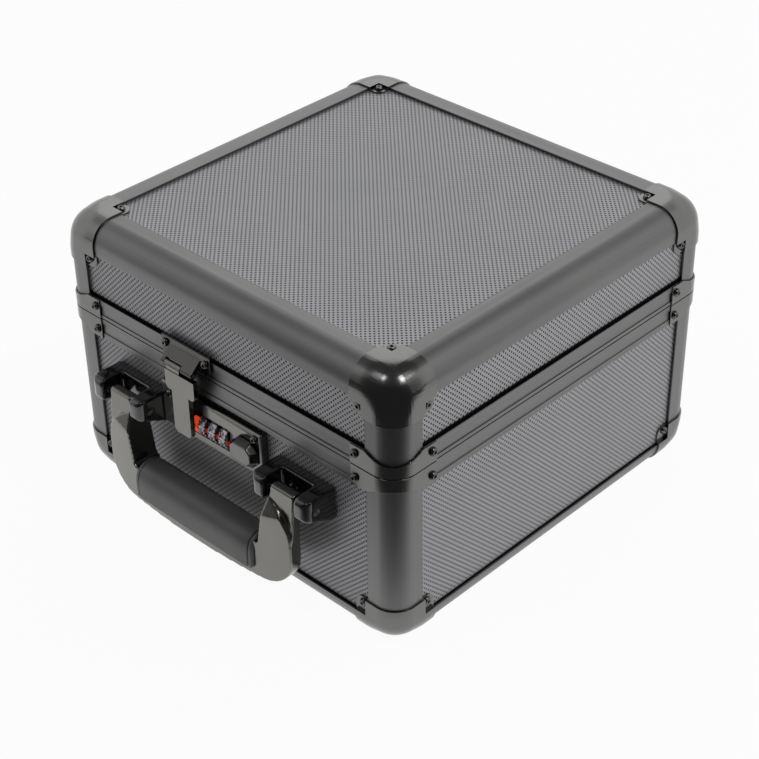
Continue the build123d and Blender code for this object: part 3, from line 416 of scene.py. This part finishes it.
def pressedCorners(name, node, body, atTop, look):
    bm = bmesh.new()
    bm.from_mesh(nodes[node].data)
    bmesh.ops.remove_doubles(bm, verts=bm.verts, dist=weldMm * mm)
    middle = at(0, 0, look["height"] if atTop else 0)
    wide, radius = look["halfWidth"] * mm, look["edgeRadius"] * mm
    down = -1 if atTop else 1
    sliceCorners(bm, middle, wide, down, look["sections"])
    near, far = look["noseNear"] * mm, look["noseFar"] * mm
    for v in bm.verts:
        off = v.co - middle
        signs = (math.copysign(1, off.x), math.copysign(1, off.y), -down)
        inward = Vector((wide - abs(off.x), wide - abs(off.y), down * off.z))
        share = min(max((inward.length - near) / (far - near), 0), 1)
        drop = look["noseDrop"] * mm * (1 - share * share * (3 - 2 * share))
        outward = Vector([max(radius - depth, 0) * sign for depth, sign in zip(inward, signs)])
        if drop > 0 and outward.length > 0:
            v.co -= outward.normalized() * drop
    mesh = finishMesh(bm, name, look["smoothAngle"])
    piece = addPiece(name, mesh, [blackNickel], body, [node])
    roundEdges(piece, look["rimRound"], look["rimAngle"])


pressedCorners("lidBallCorners", "lid_ball_corners", "lid", True, cornerLook)
pressedCorners("baseBallCorners", "base_ball_corners", "base", False, cornerLook)
print("ball corners made")


# Number wheels of the lock

wheelLook = {
    "radius": 7.0, "width": 5.2, "pitch": 8.05, "middleX": -2.25, "axisY": -124.0, "axisZ": 80.0,
    "teeth": 20, "toothDepth": 0.45, "pointsPerTooth": 6, "rimWidth": 1.0, "rimEdge": 0.35, "rimDrop": 0.5,
    "bandRadius": 6.6, "bandSlope": 0.15, "bore": 2.06, "digitSize": 2.7, "digitHeight": 0.06,
}


def onWheel(x, radius, angle, look):
    return at(x, look["axisY"] + radius * math.cos(angle), look["axisZ"] + radius * math.sin(angle))


def wheelRings(look):
    # rings across the wheel's width: (x, radius, share of the tooth's depth)
    half, slope = look["width"] / 2, look["bandSlope"]
    rim = half - look["rimWidth"]
    right = [
        (rim - slope, look["bandRadius"], 0), (rim + slope, look["radius"], 1),
        (half - look["rimEdge"], look["radius"], 1), (half, look["radius"] - look["rimDrop"], 0.6),
        (half, look["bore"], 0),
    ]
    return [(-x, radius, tooth) for x, radius, tooth in reversed(right)] + right


def addDigit(bm, digit, middle, look):
    # one digit, laid round the band and upright for someone in front of the case
    curve = bpy.data.curves.new("digitOutline", "FONT")
    curve.body = str(digit)
    curve.size = look["digitSize"]
    curve.align_x = "CENTER"
    curve.align_y = "CENTER"
    curve.extrude = look["digitHeight"]
    curve.resolution_u = 3
    holder = bpy.data.objects.new("digitOutline", curve)
    mesh = bpy.data.meshes.new_from_object(holder)
    pointsBefore, facesBefore = len(bm.verts), len(bm.faces)
    bm.from_mesh(mesh)
    bm.verts.ensure_lookup_table()
    bm.faces.ensure_lookup_table()
    turn = 2 * math.pi * digit / 10
    for v in bm.verts[pointsBefore:]:
        angle = math.pi + turn - v.co.y / look["bandRadius"]
        v.co = onWheel(middle + v.co.x, look["bandRadius"] + v.co.z, angle, look)
    for face in bm.faces[facesBefore:]:
        face.material_index = 1
    bpy.data.objects.remove(holder)
    bpy.data.curves.remove(curve)
    bpy.data.meshes.remove(mesh)


def numberWheel(name, node, body, middle, look):
    bm = bmesh.new()
    steps = look["teeth"] * look["pointsPerTooth"]
    rings = []
    for x, radius, tooth in wheelRings(look):
        ring = []
        for i in range(steps):
            angle = 2 * math.pi * i / steps
            cut = look["toothDepth"] * tooth * (0.5 - 0.5 * math.cos(angle * look["teeth"])) ** 2
            ring.append(onWheel(middle + x, radius - cut, angle, look))
        rings.append(ring)
    made = loft(bm, rings, caps=False)
    for i in range(steps):  # the bore
        j = (i + 1) % steps
        bm.faces.new((made[-1][i], made[-1][j], made[0][j], made[0][i]))
    for digit in range(10):
        addDigit(bm, digit, middle, look)
    addPiece(name, finishMesh(bm, name), [chromedWheel, digitPaint], body, [node])


for i, body in enumerate(("dial_left", "dial_middle", "dial_right")):
    middle = wheelLook["middleX"] + (i - 1) * wheelLook["pitch"]
    numberWheel("numberWheel%d" % (i + 1), "dial_%d" % (i + 1), body, middle, wheelLook)
print("number wheels made")


# Grip sleeve over the handle's bar

gripLook = {
    "centreX": -1.6, "halfLength": 46.0, "front": 149.3, "back": 128.9, "bottom": 27.4, "top": 47.0,
    "shoulder": 35.5,  # height where the straight sides end and the arch begins
    "power": 2.35,  # of the arch: 2 is an ellipse, more is squarer
    "archSteps": 24, "wall": 2.9, "hem": 0.5,
    "footShare": 0.6,  # how much of a ring's sinking its lower edge follows
    # how far each ring is from the end, and how far its skin is sunk: a rounded lip, a groove, the body
    "endRings": ((0, 1.3), (0.4, 0.55), (0.9, 0.425), (2.2, 0.4),
                 (2.45, 0.8), (2.8, 0.8), (3.1, 0.15), (4.2, 0)),
    "bodyRings": (-30, -15, 0, 15, 30),
}


def gripSection(x, look, drop):
    # an arch from the front's lower edge over the top to the back's lower edge, and its inside back
    middle = -(look["front"] + look["back"]) / 2
    points = []
    for inside in (False, True):
        sink = drop + (look["wall"] if inside else 0)
        half = (look["front"] - look["back"]) / 2 - sink
        rise = look["top"] - look["shoulder"] - sink
        arch = []
        for k in range(look["archSteps"] + 1):
            angle = math.pi * k / look["archSteps"]
            c, s = math.cos(angle), math.sin(angle)
            y = middle - half * math.copysign(abs(c) ** (2 / look["power"]), c)
            z = look["shoulder"] + rise * abs(s) ** (2 / look["power"])
            arch.append((y, z))
        y0, y1 = arch[0][0], arch[-1][0]
        foot = look["bottom"] + (0 if inside else drop * look["footShare"])
        side = (foot, foot + look["hem"], (foot + look["shoulder"]) / 2)
        loop = [(y0, z) for z in side] + arch + [(y1, z) for z in reversed(side)]
        points += list(reversed(loop)) if inside else loop
    return [at(x, y, z) for y, z in points]


def gripSleeve(look):
    bm = bmesh.new()
    rings = [(x, 0) for x in look["bodyRings"]]
    for side in (-1, 1):
        rings += [(side * (look["halfLength"] - inward), drop) for inward, drop in look["endRings"]]
    loft(bm, [gripSection(look["centreX"] + x, look, drop) for x, drop in sorted(rings)])
    mesh = finishMesh(bm, "gripSleeve", 50)
    addPiece("gripSleeve", mesh, [satinRubber], "handle", ["grip_sleeve"])


gripSleeve(gripLook)
print("grip sleeve made")


# Orange index marks beside the wheels

markLook = {
    "face": 127.9, "back": 126.2, "low": 74.0, "high": 83.0, "left": -18.6, "right": -13.3,
    "smallLow": 76.9, "smallHigh": 78.9, "smallWidth": 1.2,
    "edgeRound": 0.2, "roundedFrom": 0.5,  # mm, and the least turn of a rounded edge in radians
}


def indexMarks(look):
    bm = bmesh.new()
    marks = [(look["left"], look["right"], look["low"], look["high"])]
    half = look["smallWidth"] / 2
    for i in (0, 1, 2):  # the small ones stand right of each wheel
        x = wheelLook["middleX"] + (i - 0.5) * wheelLook["pitch"]
        marks.append((x - half, x + half, look["smallLow"], look["smallHigh"]))
    for x0, x1, z0, z1 in marks:
        outline = ((x0, z0), (x1, z0), (x1, z1), (x0, z1))
        loft(bm, [[at(x, -y, z) for x, z in outline] for y in (look["back"], look["face"])])
    edges = [e for e in bm.edges if e.calc_face_angle(0) > look["roundedFrom"]]
    bmesh.ops.bevel(bm, geom=edges, offset=look["edgeRound"] * mm, segments=2, affect="EDGES", profile=0.6)
    addPiece("indexMarks", finishMesh(bm, "indexMarks"), [orangeGlowEnamel], "base")


indexMarks(markLook)
print("index marks made")


# Foam liner

foamLook = {
    "edgeRound": 1.6, "half": 116.0,
    "frontGap": 4.6,  # the base's block stops short of the lock's housing
    "rowWidth": 87.0, "rowLength": 212.0, "divider": 12.0, "rowFloor": 12.3,
    "baseBottom": 8.5, "baseTop": 106.0,
    "padHalfX": 97.0, "padHalfY": 108.0, "padRoof": 150.0, "lidTop": 158.7, "lidLow": 111.6,
}


def foamPiece(name, node, body, xs, ys, heights, back, facing, look):
    # a block between the plane back and, for each cell between the lines xs and ys, its own height;
    # facing is 1 where the cells look up and -1 where they look down
    bm = bmesh.new()

    def quad(*points):
        bm.faces.new([bm.verts.new(at(*p)) for p in points])

    for i in range(len(xs) - 1):
        for j in range(len(ys) - 1):
            x0, x1, y0, y1 = xs[i], xs[i + 1], ys[j], ys[j + 1]
            h = heights[i][j]
            for z in (h, back):
                quad((x0, y0, z), (x1, y0, z), (x1, y1, z), (x0, y1, z))
            # its four sides: two corners of each, and the step to the next cell
            for a, b, di, dj in (((x1, y0), (x1, y1), 1, 0), ((x0, y1), (x0, y0), -1, 0),
                                 ((x1, y1), (x0, y1), 0, 1), ((x0, y0), (x1, y0), 0, -1)):
                ni, nj = i + di, j + dj
                inside = 0 <= ni < len(xs) - 1 and 0 <= nj < len(ys) - 1
                other = heights[ni][nj] if inside else back
                if facing * (h - other) > 0:
                    quad((*a, h), (*a, other), (*b, other), (*b, h))
    bmesh.ops.remove_doubles(bm, verts=bm.verts, dist=weldMm * mm)
    bmesh.ops.dissolve_limit(bm, angle_limit=math.radians(1), verts=bm.verts, edges=bm.edges)
    piece = addPiece(name, finishMesh(bm, name), [cutFoam], body, [node])
    roundEdges(piece, look["edgeRound"], 30, segments=4, weight=50)


def foamLiner(look):
    half = look["half"]
    rowX0 = look["divider"] / 2
    rowX1 = rowX0 + look["rowWidth"]
    rowY = look["rowLength"] / 2
    heights = [[look["baseTop"]] * 3 for i in range(5)]
    for row in (1, 3):
        heights[row][1] = look["rowFloor"]
    foamPiece("baseFoam", "base_foam", "base", [-half, -rowX1, -rowX0, rowX0, rowX1, half],
              [-half + look["frontGap"], -rowY, rowY, half], heights, look["baseBottom"], 1, look)
    heights = [[look["lidLow"]] * 3 for i in range(3)]
    heights[1][1] = look["padRoof"]
    foamPiece("lidFoam", "lid_foam", "lid", [-half, -look["padHalfX"], look["padHalfX"], half],
              [-half, -look["padHalfY"], look["padHalfY"], half], heights, look["lidTop"], -1, look)


foamLiner(foamLook)
print("foam liner made")


# Studio: floor, world, lamps and camera

studioLook = {
    "floorSize": 8.0, "floorShade": "f6f6f6", "floorShare": 0.95,  # how much of the floor is its own white
    "openSide": (0.62, -0.78),  # the way to the light tent's dark, open side, along the floor
    "paperEnd": (0.165, 0.26),  # metres that way, where the paper fades out in reflections
    "openFade": (0.0, 0.38), "openDark": 0.06,
    "ceilingFade": (0.6, 0.84), "ceiling": 0.12,  # sine of the height where the dull ceiling begins
    "worldFill": 0.9,
}
lampTarget = (0.0, 0.0, 0.1)
lampLook = {  # name: place in metres, size, watts
    # two soft lamps, each where its highlight sits on the near ball corner in the photograph
    "keySoftbox": ((1.28, 0.19, 1.87), (0.58, 0.58), 9.0),
    "sideSoftbox": ((-0.24, -1.16, 1.96), (0.5, 0.5), 4.0),
    # a broad one behind, which brightens the flat tops
    "backSoftbox": ((-1.45, 1.5, 1.75), (1.5, 1.5), 4.2),
    # the fill for the right-hand side stays out of the bright metal, which mirrors the tent alone
    "fillSoftbox": ((2.1, 1.3, 0.8), (1.4, 1.0), 15.0),
}
cameraLook = {  # worked out from the rivets' places in the photograph
    "place": (601.38, -622.25, 646.32), "focalPixels": 1832.7, "imagePixels": 759, "sensorMm": 36.0,
    "right": (0.72200526, 0.69175608, -0.01348834), "down": (0.38428453, -0.41714764, -0.82359775),
    "ahead": (-0.57535538, 0.58945854, -0.56701395),
}


def seenDirectly(tree):
    # 1 for camera, glossy and transmission rays
    ray = addNode(tree, "ShaderNodeLightPath").outputs
    first = addNode(tree, "ShaderNodeMath", {0: ray["Is Camera Ray"], 1: ray["Is Glossy Ray"]},
                    operation="MAXIMUM").outputs[0]
    return addNode(tree, "ShaderNodeMath", {0: first, 1: ray["Is Transmission Ray"]},
                   operation="MAXIMUM").outputs[0]


def towardsOpening(tree, place, look, fade):
    # 0 to 1 across the fade, the further place lies towards the tent's open side
    along = addNode(tree, "ShaderNodeVectorMath", {0: place, 1: (*look["openSide"], 0.0)},
                    operation="DOT_PRODUCT").outputs["Value"]
    return addNode(tree, "ShaderNodeMapRange", {0: along, 1: fade[0], 2: fade[1], 3: 0.0, 4: 1.0},
                   interpolation_type="SMOOTHSTEP").outputs[0]


def studioFloor(look):
    bm = bmesh.new()
    bmesh.ops.create_grid(bm, x_segments=8, y_segments=8, size=look["floorSize"] / 2)
    mesh = finishMesh(bm, "studioFloor")
    floor = bpy.data.objects.new("studioFloor", mesh)
    scene.collection.objects.link(floor)
    material, tree, shader = newMaterial("paperFloorWhite", look["floorShade"], 0.0, 0.8)
    # in reflections the paper ends at the tent's open side, and the dark room begins
    place = addNode(tree, "ShaderNodeTexCoord").outputs["Object"]
    beyond = towardsOpening(tree, place, look, look["paperEnd"])
    mirrored = addNode(tree, "ShaderNodeLightPath").outputs["Is Glossy Ray"]
    dark = addNode(tree, "ShaderNodeMath", {0: beyond, 1: mirrored}, operation="MULTIPLY").outputs[0]
    shade = addNode(tree, "ShaderNodeMapRange", {0: dark, 3: 1.0, 4: look["openDark"]}).outputs[0]
    glow = addNode(tree, "ShaderNodeEmission", {"Color": (1, 1, 1, 1), "Strength": shade})
    share = addNode(tree, "ShaderNodeMath", {0: seenDirectly(tree), 1: look["floorShare"]},
                    operation="MULTIPLY").outputs[0]
    covered = addNode(tree, "ShaderNodeMath", {0: share, 1: dark}, operation="MAXIMUM").outputs[0]
    mixed = addNode(tree, "ShaderNodeMixShader", {0: covered, 1: shader.outputs[0], 2: glow.outputs[0]})
    tree.links.new(mixed.outputs[0], tree.nodes["Material Output"].inputs[0])
    mesh.materials.append(material)


def studioWorld(look):
    # a light tent: white walls, a duller ceiling, and one dark open side
    world = bpy.data.worlds.new("softStudio")
    scene.world = world
    world.use_nodes = True
    tree = world.node_tree
    tree.nodes.clear()
    way = addNode(tree, "ShaderNodeTexCoord").outputs["Generated"]
    height = addNode(tree, "ShaderNodeSeparateXYZ", {0: way}).outputs[2]
    opening = towardsOpening(tree, way, look, look["openFade"])
    low, high = look["ceilingFade"]
    above = addNode(tree, "ShaderNodeMapRange", {0: height, 1: low, 2: high, 3: 0.0, 4: 1.0},
                    interpolation_type="SMOOTHSTEP").outputs[0]
    white, openDark, ceiling = ((v, v, v, 1) for v in (1.0, look["openDark"], look["ceiling"]))
    wall = addNode(tree, "ShaderNodeMix", {0: opening, 6: white, 7: openDark}, data_type="RGBA").outputs[2]
    tent = addNode(tree, "ShaderNodeMix", {0: above, 6: wall, 7: ceiling}, data_type="RGBA").outputs[2]
    # a camera that looks past the object sees white all round
    watched = addNode(tree, "ShaderNodeLightPath").outputs["Is Camera Ray"]
    room = addNode(tree, "ShaderNodeMix", {0: watched, 6: tent, 7: white}, data_type="RGBA").outputs[2]
    direct = addNode(tree, "ShaderNodeBackground", {"Color": room, "Strength": 1.0})
    fill = addNode(tree, "ShaderNodeBackground", {"Color": tent, "Strength": look["worldFill"]})
    mixed = addNode(tree, "ShaderNodeMixShader", {0: seenDirectly(tree), 1: fill.outputs[0],
                                                  2: direct.outputs[0]})
    output = addNode(tree, "ShaderNodeOutputWorld")
    tree.links.new(mixed.outputs[0], output.inputs[0])


def softbox(name, place, size, watts):
    light = bpy.data.lights.new(name, "AREA")
    light.shape = "RECTANGLE"
    light.size, light.size_y = size
    light.energy = watts
    lamp = bpy.data.objects.new(name, light)
    lamp.location = place
    lamp.rotation_euler = (Vector(lampTarget) - Vector(place)).to_track_quat("-Z", "Y").to_euler()
    scene.collection.objects.link(lamp)
    return lamp


def photoCamera(look):
    right, down, ahead = (Vector(look[axis]) for axis in ("right", "down", "ahead"))
    turn = Matrix((right, -down, -ahead)).transposed().to_4x4()
    camera = bpy.data.objects.new("photoCamera", bpy.data.cameras.new("photoCamera"))
    camera.matrix_world = Matrix.Translation(at(*look["place"])) @ turn
    camera.data.sensor_width = look["sensorMm"]
    camera.data.lens = look["sensorMm"] * look["focalPixels"] / look["imagePixels"]
    camera.data.clip_start = 0.05
    camera.data.clip_end = 50.0
    scene.collection.objects.link(camera)
    scene.camera = camera


scene.view_settings.view_transform = "Standard"
studioFloor(studioLook)
studioWorld(studioLook)
lamps = {name: softbox(name, *look) for name, look in lampLook.items()}
lamps["fillSoftbox"].visible_glossy = False
photoCamera(cameraLook)
print("studio set up")
